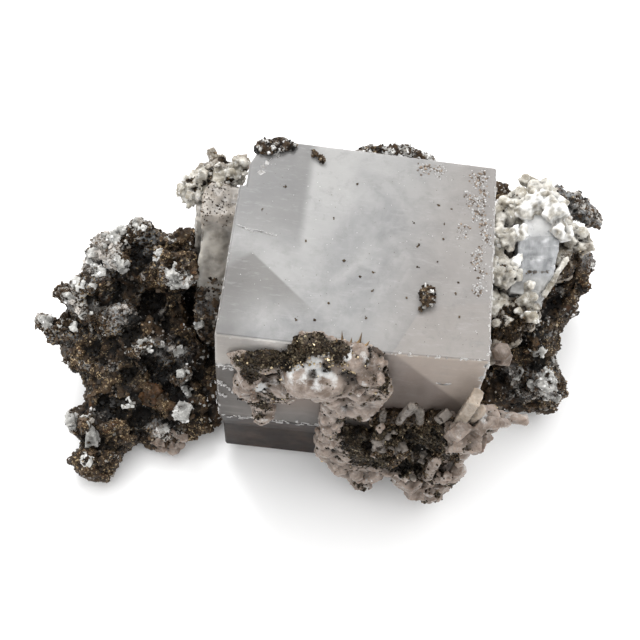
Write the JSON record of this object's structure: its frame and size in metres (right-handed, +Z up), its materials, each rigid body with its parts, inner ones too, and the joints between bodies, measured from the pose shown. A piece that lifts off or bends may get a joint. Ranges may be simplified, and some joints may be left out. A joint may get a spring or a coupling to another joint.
{
  "type": "fluorite cube mineral specimen",
  "caption": "Pale fluorite cube on pyrite-coated ore rock, with white calcite and quartz crystals around it and a flat sawn base.",
  "frame": {"origin": "middle of the specimen's footprint box, on the flat sawn base", "axes": "+X along the specimen's length, +Z up through the cube's top face, -Y towards the show side"},
  "size_m": [0.1148, 0.069, 0.0564],
  "materials": {
    "fluorite": "clouded, waxy to glassy cleavage faces",
    "pyritic_rock": "rough dark ore with brassy pyrite grains",
    "calcite": "satin, slightly translucent crystal",
    "clear_quartz": "clear, glossy",
    "pyrite": "metallic cubes, brown tarnish"
  },
  "bodies": {
    "root": {"fluorite_cube": "fluorite", "matrix_rock": "pyritic_rock", "front_crystal_crust": "calcite", "left_calcite_block": "calcite", "rear_white_crystals": "calcite", "right_white_crystals": "calcite", "right_clear_crystal": "clear_quartz", "back_pyrite_crust": "pyritic_rock", "corner_pyrite_crust": "pyritic_rock", "small_pyrite_cluster": "pyrite", "large_pyrite_cluster": "pyrite"}
  },
  "joints": []
}
